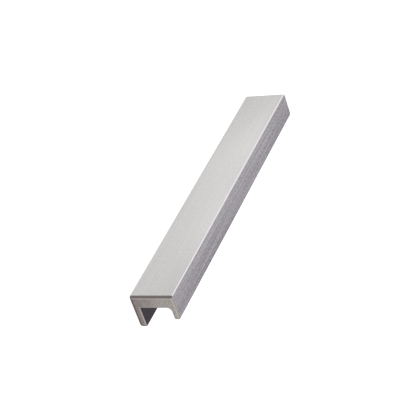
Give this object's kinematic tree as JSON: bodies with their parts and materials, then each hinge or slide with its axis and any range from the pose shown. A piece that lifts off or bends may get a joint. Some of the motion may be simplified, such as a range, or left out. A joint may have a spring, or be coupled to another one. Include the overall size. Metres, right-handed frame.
{
  "type": "bar handle",
  "caption": "Brushed metal bar handle: a straight channel with a thick web, a tall back leg that is screwed to the door and a shorter front lip for the fingers.",
  "frame": {"origin": "middle of the mounting face, which lies on the floor or against the door", "axes": "+X along the bar, +Y out of the web's broad outer face, +Z away from the door"},
  "size_m": [0.15, 0.0162, 0.02],
  "materials": {
    "brushed_metal": "outer faces brushed along the bar and anodised in a stainless-steel tone, sawn and bevelled ends, dark as-extruded inside"
  },
  "bodies": {
    "root": {"handle_bar": "brushed_metal"}
  },
  "joints": []
}
